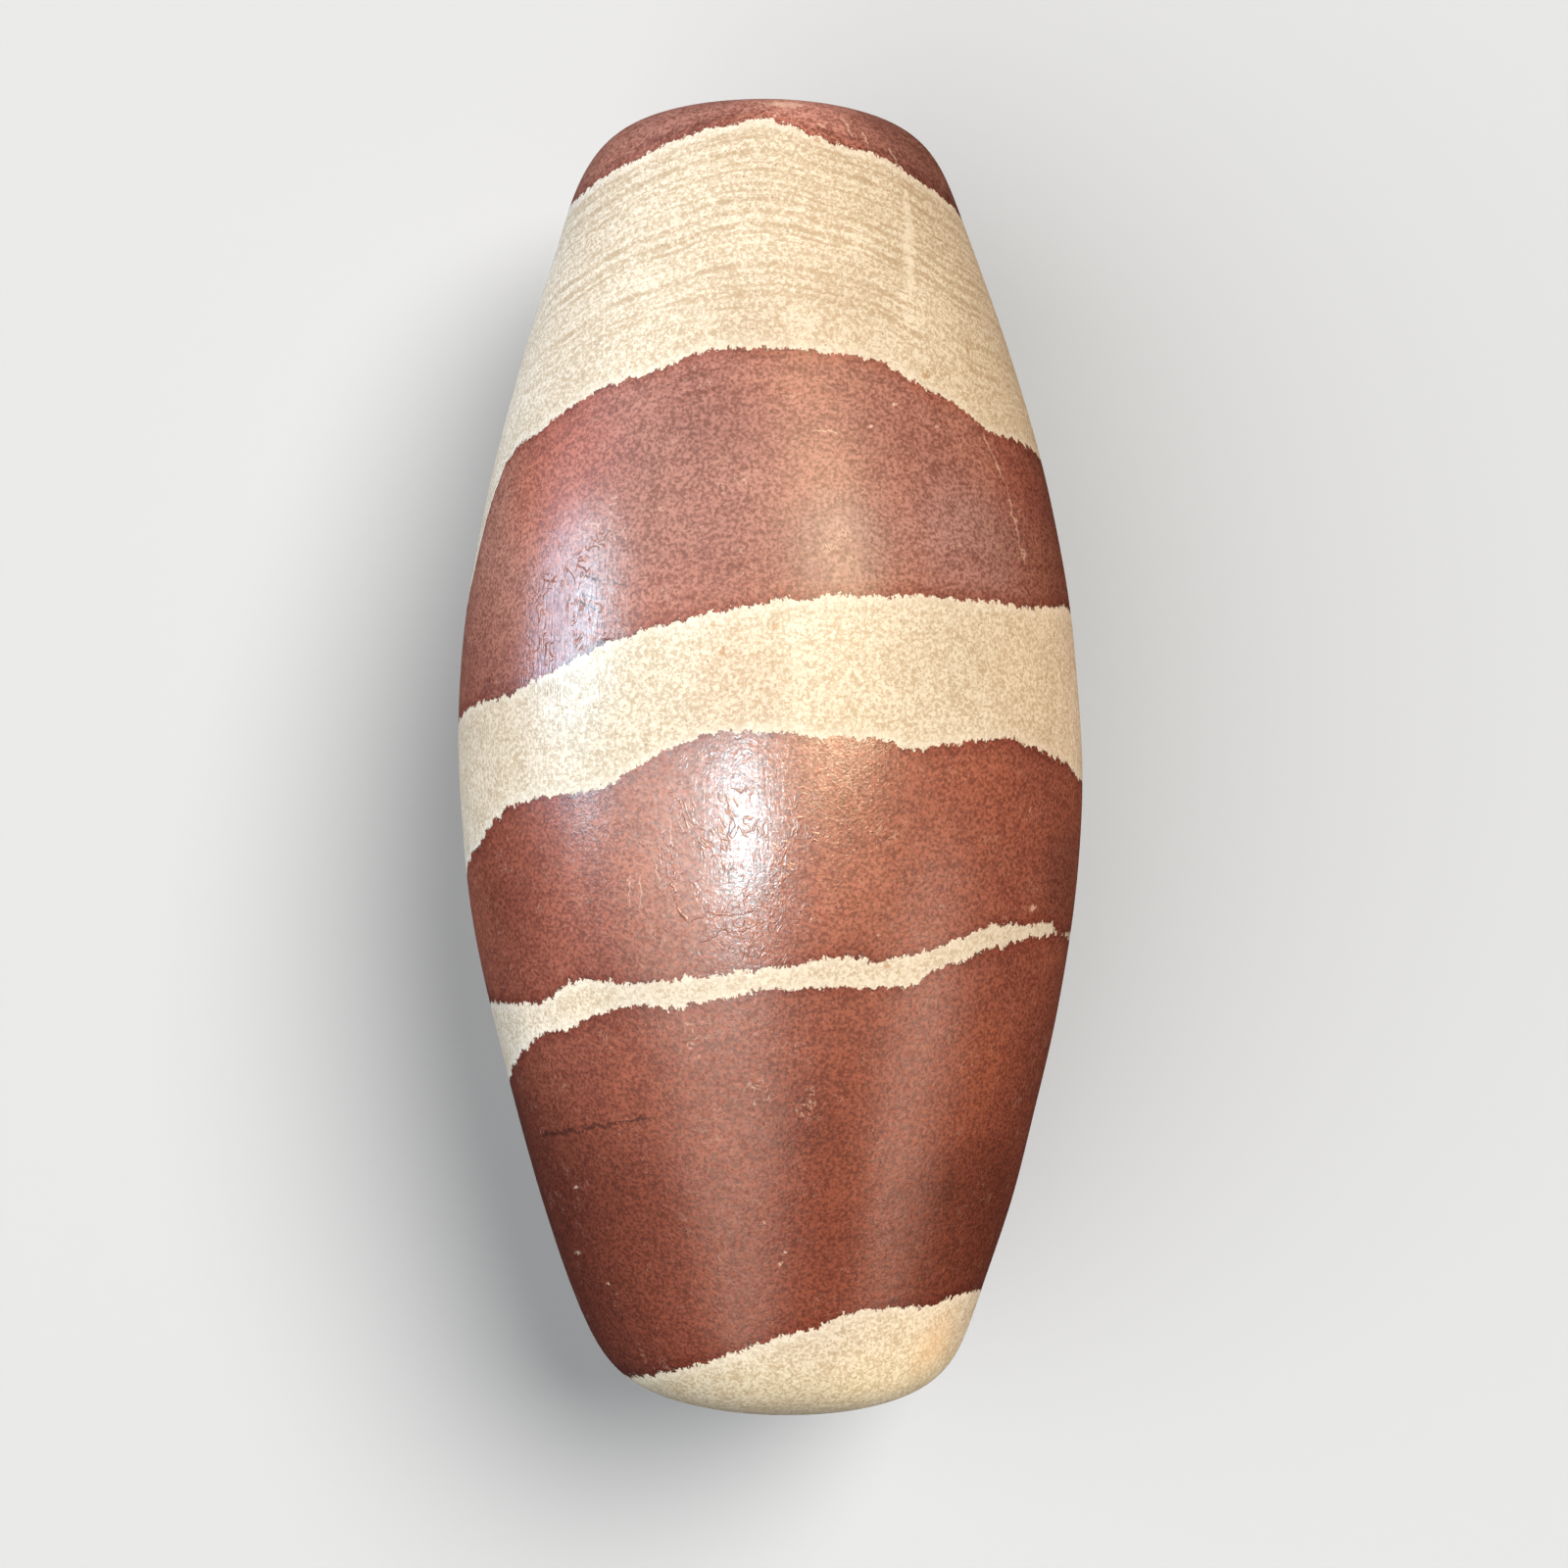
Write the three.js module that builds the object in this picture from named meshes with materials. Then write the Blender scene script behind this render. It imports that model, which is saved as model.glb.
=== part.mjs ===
import * as THREE from 'three';
import { mergeVertices } from 'three/addons/utils/BufferGeometryUtils.js';

// A shiva lingam stone: one barrel-shaped piece of banded river stone with softly domed ends,
// rubbed smooth by hand and lying on its side on a small worn flat.
// Millimetres. +Y runs along the stone, +X across it, and +Z up from the flat it rests on.

const stoneLength = 150;
const stoneWidth = 72;
const stoneHeight = 69; // from the flat to the highest point of the round side

// The half-width falls off along the stone as 1 - taper s^2 + easing s^4,
// where s is 0 at the middle and 1 at an end.
const headTaper = 0.608; // towards +Y
const footTaper = 0.592; // towards -Y
const easing = 0.116;

// Each end closes as the square root of 1 - s^crispness: a gentle dome with a tight shoulder.
const shoulderCrispness = 32;

// Unevenness of a stone that was shaped by hand
const bow = 0.3; // how far both ends stand to +X of the middle
const headLean = -0.021; // how far the domed end rises along Y for each millimetre of X
const footLean = -0.032;
const leanCrispness = 8; // the lean fades out as s^leanCrispness

// The flat on the underside, and the rounding of its rim above and below the flat's plane
const flatDepth = 1;
const rimRounding = 0.25;

const stepsAround = 64;
const stepsAlong = 48;

// Half-width of the stone at station s, as a share of its half-width at the middle
function girth(s) {
  const taper = s > 0 ? headTaper : footTaper;
  const body = 1 - taper * s ** 2 + easing * s ** 4;
  return body * Math.sqrt(1 - Math.abs(s) ** shoulderCrispness);
}

// Height above the flat's plane, after wear: zero on the flat, unchanged beyond its rounded rim
function wear(height) {
  if (height < -rimRounding) return 0;
  if (height > rimRounding) return height;
  return (height + rimRounding) ** 2 / (4 * rimRounding);
}

// The point of the stone that a point of the unit sphere about Y is carried to
function stonePoint(onSphere) {
  const s = onSphere.y;
  const around = Math.atan2(onSphere.z, onSphere.x);
  const across = (stoneWidth / 2) * girth(s) * Math.cos(around);
  const halfHeight = (stoneHeight + flatDepth) / 2;
  const raised = halfHeight * (1 + girth(s) * Math.sin(around)) - flatDepth;
  const lean = s > 0 ? headLean : footLean;
  return new THREE.Vector3(
    across + bow * s ** 2,
    (stoneLength / 2) * s + lean * across * s ** leanCrispness,
    wear(raised),
  );
}

function stoneGeometry() {
  const sphere = new THREE.SphereGeometry(1, stepsAround, stepsAlong);
  sphere.deleteAttribute('normal');
  sphere.deleteAttribute('uv');
  const geometry = mergeVertices(sphere);
  const position = geometry.getAttribute('position');
  for (let i = 0; i < position.count; i += 1) {
    const point = stonePoint(new THREE.Vector3().fromBufferAttribute(position, i));
    position.setXYZ(i, point.x, point.y, point.z);
  }

  // The origin is under the middle of the stone's box, on the flat
  geometry.computeBoundingBox();
  const middle = geometry.boundingBox.getCenter(new THREE.Vector3());
  geometry.translate(-middle.x, -middle.y, 0);
  geometry.computeVertexNormals();
  return geometry;
}

const bandedStone = new THREE.MeshStandardMaterial({
  name: 'banded_stone',
  color: '#8a4a3a',
  roughness: 0.45,
  metalness: 0,
});

const stone = new THREE.Mesh(stoneGeometry(), bandedStone);
stone.name = 'stone';

const shivaLingam = new THREE.Group();
shivaLingam.add(stone);

export default shivaLingam;
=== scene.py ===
import math

import bpy
import numpy as np
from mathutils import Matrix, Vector


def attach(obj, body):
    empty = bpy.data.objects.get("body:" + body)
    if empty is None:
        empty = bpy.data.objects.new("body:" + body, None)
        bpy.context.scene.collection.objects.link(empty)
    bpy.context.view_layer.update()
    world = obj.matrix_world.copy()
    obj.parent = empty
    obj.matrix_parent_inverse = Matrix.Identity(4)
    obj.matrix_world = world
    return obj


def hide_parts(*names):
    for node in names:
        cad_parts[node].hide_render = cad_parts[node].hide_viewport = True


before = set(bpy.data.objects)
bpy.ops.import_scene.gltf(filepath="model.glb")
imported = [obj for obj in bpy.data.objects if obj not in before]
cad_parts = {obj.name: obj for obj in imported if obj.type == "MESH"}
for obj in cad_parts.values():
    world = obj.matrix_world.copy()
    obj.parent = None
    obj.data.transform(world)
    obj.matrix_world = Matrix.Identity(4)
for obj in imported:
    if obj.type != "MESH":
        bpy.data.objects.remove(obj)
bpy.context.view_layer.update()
print("frame loaded")

millimetre = 0.001

stoneShape = {
    "length": 150.0,          # mm, end to end
    "width": 72.0,
    "height": 69.0,           # from the flat it rests on to its top
    "headTaper": 0.608,       # the girth falls as 1 - taper s^2 + easing s^4
    "footTaper": 0.592,
    "easing": 0.116,
    "shoulderCrispness": 32,  # each end closes as sqrt(1 - s^crispness)
    "bow": 0.3,               # mm that both ends stand to +X of the middle
    "headLean": -0.021,       # mm that an end rises for each mm of X
    "footLean": -0.032,
    "leanCrispness": 8,
    "flatDepth": 1.0,
    "rimRounding": 0.25,
    "skin": 0.02,             # mm that the finest skin stays inside the solid's box
    "stepsAround": 320,
    "stepsAlong": 300,
    "walkSteps": 8000,        # of the fine walk that spaces the rings
}

# waves of the hand-rubbed surface: height in mm, waves round it, waves along it, phase
rubbedWaves = [
    (0.10, 2, 1.5, 0.4),
    (0.07, 3, 2.5, 2.1),
    (0.05, 5, 4.0, 4.4),
    (0.03, 7, 6.5, 1.2),
    (0.02, 11, 9.0, 3.3),
]

# broad swells and hollows: degrees round, mm along, height in mm, width in mm
swells = [
    (178, -60, 0.30, 9.0),
    (0, -53, 0.28, 9.0),
    (178, -34, -0.35, 10.0),
    (176, 65, 0.30, 5.0),
    (0, 62, -0.15, 6.0),
]


def girthAt(station):
    # 1 - taper s^2 + easing s^4, closed at each end by the square root of 1 - s^crispness
    taper = np.where(station > 0, stoneShape["headTaper"], stoneShape["footTaper"])
    body = 1 - taper * station ** 2 + stoneShape["easing"] * station ** 4
    closing = 1 - np.abs(station) ** stoneShape["shoulderCrispness"]
    return body * np.sqrt(np.clip(closing, 0, 1))


def evenStations(count):
    # stations whose steps are equal along the profile, from a fine walk s = sin(a)
    walk = np.sin(np.linspace(-math.pi / 2, math.pi / 2, stoneShape["walkSteps"] + 1))
    along = walk * stoneShape["length"] / 2
    out = girthAt(walk) * stoneShape["width"] / 2
    travelled = np.concatenate([[0], np.cumsum(np.hypot(np.diff(along), np.diff(out)))])
    share = np.linspace(0, 1, count)
    return np.interp(share * travelled[-1], travelled, walk), share


def stoneSurface(station, around):
    # barrel r(s) (cos u, sin u) squashed to the height, bowed along X, its ends leaning,
    # swollen by the rubbed waves and worn flat underneath
    girth = girthAt(station)
    halfWidth = stoneShape["width"] / 2
    halfHeight = (stoneShape["height"] + stoneShape["flatDepth"]) / 2
    along = station * stoneShape["length"] / 2
    proud = np.zeros(np.broadcast(station, around).shape)
    for height, wavesRound, wavesAlong, phase in rubbedWaves:
        ripple = np.cos(wavesAlong * station * math.pi + phase)
        proud += height * np.sin(wavesRound * around + phase) * ripple
    for degrees, middle, height, width in swells:
        turn = np.angle(np.exp(1j * (around - math.radians(degrees)))) * halfWidth * girth
        proud += height * np.exp(-(turn ** 2 + (along - middle) ** 2) / width ** 2)
    proud *= np.minimum(1, girth * 2)  # less of it where the girth is under half
    across = (halfWidth * girth + proud) * np.cos(around)
    raised = halfHeight - stoneShape["flatDepth"] + (halfHeight * girth + proud) * np.sin(around)
    rim = stoneShape["rimRounding"]
    worn = np.where(raised < -rim, 0, np.where(raised > rim, raised, (raised + rim) ** 2 / (4 * rim)))
    lean = np.where(station > 0, stoneShape["headLean"], stoneShape["footLean"])
    leaning = along + lean * across * np.abs(station) ** stoneShape["leanCrispness"]
    centred = across + stoneShape["bow"] * station ** 2
    return np.stack(np.broadcast_arrays(centred, leaning, worn), axis=-1)


def trimToSize(place):
    # centred in X and Y, then each axis scaled so that the box is the measured one less the skin
    size = np.array([stoneShape["width"], stoneShape["length"], stoneShape["height"]])
    low, high = place.min(axis=0), place.max(axis=0)
    middle = np.array([(low[0] + high[0]) / 2, (low[1] + high[1]) / 2, 0])
    return (place - middle) * (size - stoneShape["skin"]) / (high - low)


# each edge is a closed line round the stone: degrees round it (0 is +X, 90 the top), mm along it
bandEdges = {
    "cap": [
        (18, 61.8), (30, 63.1), (42, 64.3), (51, 65.8), (65, 66.9), (74, 67.8), (82, 69.2), (92, 69.9),
        (108, 68.8), (123, 67.5), (140, 65.6), (156, 64.2), (180, 62.6), (210, 60.0), (240, 57.8),
        (270, 56.4), (300, 56.2), (330, 58.0), (355, 60.4),
    ],
    "upperRed": [
        (14, 34.0), (26, 34.8), (38, 35.2), (46, 37.7), (56, 39.4), (64, 41.9), (77, 42.9), (90, 43.4),
        (104, 43.2), (110, 41.7), (120, 40.4), (130, 39.0), (144, 35.8), (154, 34.2), (161, 29.5),
        (168, 20.5), (178, 15.0), (200, 10.5), (225, 9.5), (250, 12.0), (280, 16.2), (310, 21.0),
        (335, 26.8), (355, 31.8),
    ],
    "middleCream": [
        (17, 16.4), (32, 15.8), (46, 16.2), (62, 16.5), (77, 16.6), (84, 16.3), (94, 15.5),
        (104, 14.3), (114, 12.9), (125, 10.6), (133, 8.9), (140, 7.3), (150, 6.6), (163, 5.6),
        (180, 3.0), (205, -1.5), (235, -3.5), (265, -1.0), (295, 4.2), (325, 10.0), (350, 15.0),
    ],
    "lowerRed": [
        (16, -2.6), (25, -1.0), (35, 0.3), (43, 1.3), (52, 1.3), (60, 0.8), (65, 0.3), (71, 1.4),
        (80, 1.7), (90, 2.5), (99, 2.3), (107, 0.7), (115, -1.9), (119, -3.1), (129, -4.0),
        (140, -4.8), (149, -7.0), (156, -9.5), (165, -11.3), (180, -14.5), (205, -18.0), (235, -19.0),
        (265, -16.5), (295, -12.5), (325, -8.4), (350, -5.0),
    ],
    "thinCreamTop": [
        (9, -20.4), (15, -20.5), (22, -20.2), (27, -18.8), (36, -18.9), (46, -18.6), (52, -19.6),
        (59, -20.6), (66, -21.7), (71, -21.9), (76, -21.2), (88, -22.2), (102, -23.1), (114, -24.0),
        (126, -23.8), (132, -24.5), (137, -26.1), (146, -26.8), (163, -27.3), (180, -28.2),
        (210, -30.0), (240, -31.0), (270, -29.6), (300, -26.6), (330, -23.0), (350, -20.9),
    ],
    "thinCreamFoot": [
        (9, -21.5), (15, -20.6), (22, -20.3), (29, -20.3), (36, -20.3), (47, -21.3), (54, -22.3),
        (60, -23.2), (63, -24.4), (72, -24.7), (84, -24.5), (95, -25.0), (108, -26.5), (117, -26.4),
        (122, -27.1), (128, -28.2), (133, -29.3), (140, -29.8), (146, -31.3), (162, -35.1),
        (180, -38.4), (205, -40.2), (235, -38.6), (265, -34.2), (295, -29.2), (325, -24.8),
        (350, -21.8),
    ],
    "foot": [
        (14, -61.3), (33, -60.4), (45, -61.0), (62, -60.4), (74, -61.0), (80, -62.1), (90, -62.9),
        (98, -64.2), (112, -66.2), (124, -67.6), (138, -69.0), (154, -70.0), (180, -71.6),
        (210, -72.8), (235, -73.0), (260, -71.8), (290, -69.2), (320, -66.0), (345, -63.0),
    ],
}


def edgeLine(points, degrees):
    # a cubic through the points, its slope at each one that of the line between its two neighbours
    knots, marks = np.array(points, float).T
    knots = np.concatenate([knots - 360, knots, knots + 360])
    marks = np.tile(marks, 3)
    slopes = (marks[2:] - marks[:-2]) / (knots[2:] - knots[:-2])
    slopes = np.concatenate([slopes[:1], slopes, slopes[-1:]])
    here = np.clip(np.searchsorted(knots, degrees, side="right") - 1, 0, len(knots) - 2)
    span = knots[here + 1] - knots[here]
    t = (degrees - knots[here]) / span
    rise = t * t * (3 - 2 * t)
    enter = t * (1 - t) ** 2
    leave = -t * t * (1 - t)
    return (marks[here] * (1 - rise) + marks[here + 1] * rise
            + (slopes[here] * enter + slopes[here + 1] * leave) * span)


# mm along that no band reaches, mm inside the cream that stands for the deep red, and the least
# thickness that a band counts with
bandLimits = {"belowFoot": -200.0, "deepRed": -50.0, "thinnest": 0.3}


def bandFields(along, around):
    # depth: mm inside the nearest cream band, negative in the red
    # bedding: mm through the layers from the cap's edge, stretched so that every edge stays level
    degrees = np.degrees(around) % 360
    lines = [edgeLine(points, degrees) for points in bandEdges.values()]
    lines.append(np.full_like(lines[0], bandLimits["belowFoot"]))
    depth = np.full(along.shape, bandLimits["deepRed"])
    for above, below in zip(lines[0::2], lines[1::2]):
        depth = np.maximum(depth, np.minimum(above - along, along - below))
    bedding = np.minimum(0, lines[0] - along)
    for above, below in zip(lines[:-2], lines[1:-1]):
        gap = np.maximum(above - below, bandLimits["thinnest"])
        bedding = bedding + np.clip((above - along) / gap, 0, 1) * gap.mean()
    bedding = bedding + np.maximum(0, lines[-2] - along)
    return depth, bedding


def makeStone():
    count, rings = stoneShape["stepsAround"], stoneShape["stepsAlong"]
    stations, share = evenStations(rings + 1)
    around = np.linspace(0, 2 * math.pi, count, endpoint=False)
    inner = stoneSurface(stations[1:-1, None], around[None, :])
    poles = stoneSurface(stations[[0, -1], None], np.array([[math.pi / 2]]))[:, 0]
    place = trimToSize(np.concatenate([poles, inner.reshape(-1, 3)]))
    turn = np.concatenate([[math.pi / 2] * 2, np.tile(around, rings - 1)])

    # quads between the rings, and a fan of triangles on each of the two poles, which come first
    step = np.arange(count)
    after = (step + 1) % count
    row = 2 + np.arange(rings - 2)[:, None] * count
    quads = np.stack([row + step, row + after, row + count + after, row + count + step], axis=-1)
    last = 2 + (rings - 2) * count
    footFan = np.stack([np.zeros_like(step), 2 + after, 2 + step], axis=-1)
    headFan = np.stack([np.ones_like(step), last + step, last + after], axis=-1)
    faces = quads.reshape(-1, 4).tolist() + footFan.tolist() + headFan.tolist()

    mesh = bpy.data.meshes.new("bandedStone")
    mesh.from_pydata((place * millimetre).tolist(), [], faces)

    # one square of the map holds the whole skin: round it in u, along the profile in v
    u0, u1 = step / count, (step + 1) / count
    v0, v1 = share[1:-2, None], share[2:-1, None]
    quadMap = np.stack(np.broadcast_arrays(u0, v0, u1, v0, u1, v1, u0, v1), axis=-1)
    middle, low, high = (u0 + u1) / 2, np.full(count, share[1]), np.full(count, share[-2])
    footMap = np.stack([middle, 0 * middle, u1, low, u0, low], axis=-1)
    headMap = np.stack([middle, 0 * middle + 1, u0, high, u1, high], axis=-1)
    skinMap = mesh.uv_layers.new(name="OFBake")
    skinMap.data.foreach_set("uv", np.concatenate([quadMap.ravel(), footMap.ravel(), headMap.ravel()]))

    depth, bedding = bandFields(place[:, 1], turn)
    for name, values in (("bandDepth", depth), ("bedding", bedding), ("upward", np.sin(turn))):
        field = mesh.attributes.new(name, "FLOAT", "POINT")
        field.data.foreach_set("value", values)
    mesh.shade_smooth()
    mesh.validate()
    stone = bpy.data.objects.new("bandedStone", mesh)
    bpy.context.scene.collection.objects.link(stone)
    return stone


stone = makeStone()
print("stone shaped:", len(stone.data.polygons), "faces")


def plug(tree, socket, value):
    if isinstance(value, bpy.types.NodeSocket):
        tree.links.new(value, socket)
    else:
        socket.default_value = value


def addNode(tree, kind, inputs=None, **settings):
    node = tree.nodes.new(kind)
    for name, value in settings.items():
        setattr(node, name, value)
    for key, value in (inputs or {}).items():
        plug(tree, node.inputs[key], value)
    return node


def maths(tree, operation, first, second=0.0, third=0.0):
    inputs = {0: first, 1: second, 2: third}
    return addNode(tree, "ShaderNodeMath", inputs, operation=operation).outputs[0]


def times(tree, value, *others):
    for other in others:
        value = maths(tree, "MULTIPLY", value, other)
    return value


def plus(tree, base, value, factor):
    # base + value * factor
    return maths(tree, "MULTIPLY_ADD", value, factor, base)


def strongest(tree, value, *others):
    for other in others:
        value = maths(tree, "MAXIMUM", value, other)
    return value


def centred(tree, value):
    return maths(tree, "SUBTRACT", value, 0.5)


def ramp(tree, value, low, high, toLow=0.0, toHigh=1.0, kind="LINEAR"):
    inputs = {"Value": value, "From Min": low, "From Max": high, "To Min": toLow, "To Max": toHigh}
    return addNode(tree, "ShaderNodeMapRange", inputs, interpolation_type=kind).outputs[0]


def vectors(tree, operation, first, second):
    return addNode(tree, "ShaderNodeVectorMath", {0: first, 1: second}, operation=operation)


def scaled(tree, vector, factor):
    inputs = {0: vector, "Scale": factor}
    return addNode(tree, "ShaderNodeVectorMath", inputs, operation="SCALE").outputs[0]


def stretched(tree, place, scales):
    return vectors(tree, "MULTIPLY", place, scales).outputs[0]


def shifted(tree, place, amount, direction):
    return vectors(tree, "ADD", place, scaled(tree, direction, amount)).outputs[0]


def mixColour(tree, share, first, second, blend="MIX"):
    # inputs 6 and 7 are the node's two colours
    node = addNode(tree, "ShaderNodeMix", data_type="RGBA", blend_type=blend)
    for number, value in ((0, share), (6, first), (7, second)):
        plug(tree, node.inputs[number], value)
    return node.outputs[2]


def tinted(tree, colour, tint, share=1.0):
    return mixColour(tree, share, colour, tint, "MULTIPLY")


def noise(tree, place, scale, detail, roughness, distortion=0.0):
    inputs = {"Vector": place, "Scale": scale, "Detail": detail, "Roughness": roughness}
    inputs["Distortion"] = distortion
    return addNode(tree, "ShaderNodeTexNoise", inputs).outputs["Fac"]


def softPatch(tree, place, middle, inner, outer, lengthwise=1.0):
    # 1 within the inner distance of the middle, 0 past the outer; lengthwise below 1 makes it longer
    if lengthwise != 1.0:
        place = stretched(tree, place, (1, lengthwise, 1))
        middle = (middle[0], middle[1] * lengthwise, middle[2])
    away = vectors(tree, "DISTANCE", place, middle).outputs["Value"]
    return ramp(tree, away, inner, outer, 1.0, 0.0, "SMOOTHSTEP")


def startGroup(name, inputs, outputs):
    # a node group, with the sockets that its inputs come from and that its outputs go to
    tree = bpy.data.node_groups.new(name, "ShaderNodeTree")
    for way, sockets in (("INPUT", inputs), ("OUTPUT", outputs)):
        for label, kind in sockets.items():
            tree.interface.new_socket(name=label, in_out=way, socket_type="NodeSocket" + kind)
    return tree, tree.nodes.new("NodeGroupInput").outputs, tree.nodes.new("NodeGroupOutput").inputs


def placeGroup(tree, group, inputs):
    node = tree.nodes.new("ShaderNodeGroup")
    node.node_tree = group
    for key, value in inputs.items():
        plug(tree, node.inputs[key], value)
    return node.outputs


# how the grains are packed. Here and below a ramp is written as: from, to, then its values at
# the two
packing = {
    "clumps": (2.0, 0.55),              # detail and roughness of the pale clumps
    "ownTone": 0.12,                    # how far each grain's own tone moves it
    "oddFade": 0.06,                    # how gradually the odd grains set in
    "oddEdge": (0.30, 0.50, 1.0, 0.0),  # in grain sizes from an odd grain's middle
}


def makeSandGrain():
    # sand grains packed together: pale worm-like clumps, darker gaps, and a few odd dark grains.
    # Lean above zero brings more of the pale ones
    tree, given, out = startGroup("sandGrain", {
        "Place": "Vector", "Size": "Float", "Matrix": "Color", "Pale": "Color", "Dark": "Color",
        "Dark share": "Float", "Softness": "Float", "Lean": "Float", "Winding": "Float",
    }, {"Colour": "Color", "Grain": "Float"})
    fineness = maths(tree, "DIVIDE", 1.0, given["Size"])
    clumps = noise(tree, given["Place"], fineness, *packing["clumps"], given["Winding"])
    cells = addNode(tree, "ShaderNodeTexVoronoi", {"Vector": given["Place"], "Scale": fineness})
    ownTone = addNode(tree, "ShaderNodeSeparateColor", {0: cells.outputs["Color"]}).outputs[0]
    mixed = plus(tree, clumps, centred(tree, ownTone), packing["ownTone"])
    leaning = maths(tree, "ADD", mixed, given["Lean"])
    low = maths(tree, "SUBTRACT", 0.5, given["Softness"])
    high = maths(tree, "ADD", 0.5, given["Softness"])
    colour = mixColour(tree, ramp(tree, leaning, low, high), given["Matrix"], given["Pale"])
    rarity = maths(tree, "SUBTRACT", 1.0, given["Dark share"])
    odd = ramp(tree, ownTone, rarity, maths(tree, "ADD", rarity, packing["oddFade"]))
    odd = times(tree, odd, ramp(tree, cells.outputs["Distance"], *packing["oddEdge"]))
    tree.links.new(mixColour(tree, odd, colour, given["Dark"]), out["Colour"])
    tree.links.new(clumps, out["Grain"])
    return tree


# the small marks' own shapes, with soft edges in shares of a half width or a radius
markShape = {
    "traceEdge": (0.35, 1.0, 1.0, 0.0),
    "traceTaper": (0.2, 0.52, 1.0, 0.25),  # by share of its length from its middle
    "traceAbove": 34.0,                    # mm, so that traces stay on the upper side
    "laminaEdge": (0.2, 1.0, 1.0, 0.0),
    "spotEdge": (0.6, 1.0, 1.0, 0.0),
    "smallestSpot": 0.4,                   # of the set radius; the largest is 1.4 of it
    "softCore": 0.4,                       # of a soft round's radius
    "wormFolds": (1.0, 0.5),               # detail and roughness
}


def makeTrace():
    # a fine line from one point to another on the upper side, seen from above, with tapered ends
    tree, given, out = startGroup("trace", {
        "Place": "Vector", "From": "Vector", "To": "Vector", "Half width": "Float"}, {"Mask": "Float"})
    flatPlace = stretched(tree, given["Place"], (1, 1, 0))
    run = vectors(tree, "SUBTRACT", given["To"], given["From"]).outputs[0]
    gone = vectors(tree, "SUBTRACT", flatPlace, given["From"]).outputs[0]
    share = maths(tree, "DIVIDE", vectors(tree, "DOT_PRODUCT", gone, run).outputs["Value"],
                  vectors(tree, "DOT_PRODUCT", run, run).outputs["Value"])
    share = ramp(tree, share, 0.0, 1.0)
    away = vectors(tree, "DISTANCE", gone, scaled(tree, run, share)).outputs["Value"]
    offMiddle = maths(tree, "ABSOLUTE", centred(tree, share))
    reach = times(tree, given["Half width"], ramp(tree, offMiddle, *markShape["traceTaper"]))
    mask = ramp(tree, maths(tree, "DIVIDE", away, reach), *markShape["traceEdge"])
    height = addNode(tree, "ShaderNodeSeparateXYZ", {0: given["Place"]}).outputs[2]
    mask = times(tree, mask, maths(tree, "GREATER_THAN", height, markShape["traceAbove"]))
    tree.links.new(mask, out["Mask"])
    return tree


def makeLamina():
    # a thin broken line that keeps a set distance from the nearest band edge
    tree, given, out = startGroup("lamina", {
        "Depth": "Float", "At": "Float", "Half width": "Float", "Patches": "Float"}, {"Mask": "Float"})
    away = maths(tree, "ABSOLUTE", maths(tree, "SUBTRACT", given["Depth"], given["At"]))
    line = ramp(tree, maths(tree, "DIVIDE", away, given["Half width"]), *markShape["laminaEdge"])
    tree.links.new(times(tree, line, given["Patches"]), out["Mask"])
    return tree


def makeSpots():
    # scattered round spots, at most one to each cell of the spacing
    tree, given, out = startGroup("spots", {
        "Place": "Vector", "Spacing": "Float", "Radius": "Float", "Share": "Float"}, {"Mask": "Float"})
    fineness = maths(tree, "DIVIDE", 1.0, given["Spacing"])
    cells = addNode(tree, "ShaderNodeTexVoronoi", {"Vector": given["Place"], "Scale": fineness})
    away = times(tree, cells.outputs["Distance"], given["Spacing"])
    tone = addNode(tree, "ShaderNodeSeparateColor", {0: cells.outputs["Color"]}).outputs
    radius = maths(tree, "ADD", markShape["smallestSpot"], tone[1])
    radius = times(tree, given["Radius"], radius)
    spot = ramp(tree, maths(tree, "DIVIDE", away, radius), *markShape["spotEdge"])
    kept = maths(tree, "LESS_THAN", tone[0], given["Share"])
    tree.links.new(times(tree, spot, kept), out["Mask"])
    return tree


def makeWorms():
    # winding ridges: where a slow noise crosses its middle value, within a breadth of that value
    tree, given, out = startGroup("worms", {
        "Place": "Vector", "Spacing": "Float", "Breadth": "Float", "Bend": "Float"}, {"Mask": "Float"})
    fineness = maths(tree, "DIVIDE", 1.0, given["Spacing"])
    folds = noise(tree, given["Place"], fineness, *markShape["wormFolds"], given["Bend"])
    away = maths(tree, "ABSOLUTE", centred(tree, folds))
    tree.links.new(ramp(tree, away, 0.0, given["Breadth"], 1.0, 0.0, "SMOOTHSTEP"), out["Mask"])
    return tree


sandGrain, trace, lamina = makeSandGrain(), makeTrace(), makeLamina()
spots, worms = makeSpots(), makeWorms()


def gatherMarks(tree, place, marks):
    # the strongest of a set of traces
    total = 0.0
    for start, end, halfWidth in marks:
        ends = {"From": (*start, 0), "To": (*end, 0)}
        mask = placeGroup(tree, trace, {"Place": place, "Half width": halfWidth, **ends})["Mask"]
        total = strongest(tree, total, mask)
    return total


def gatherRounds(tree, flatPlace, rounds, core):
    # the strongest of a set of soft rounds, each full within its core share and gone at its radius
    total = 0.0
    for middle, radius in rounds:
        mask = softPatch(tree, flatPlace, (*middle, 0), radius * core, radius)
        total = strongest(tree, total, mask)
    return total


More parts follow.
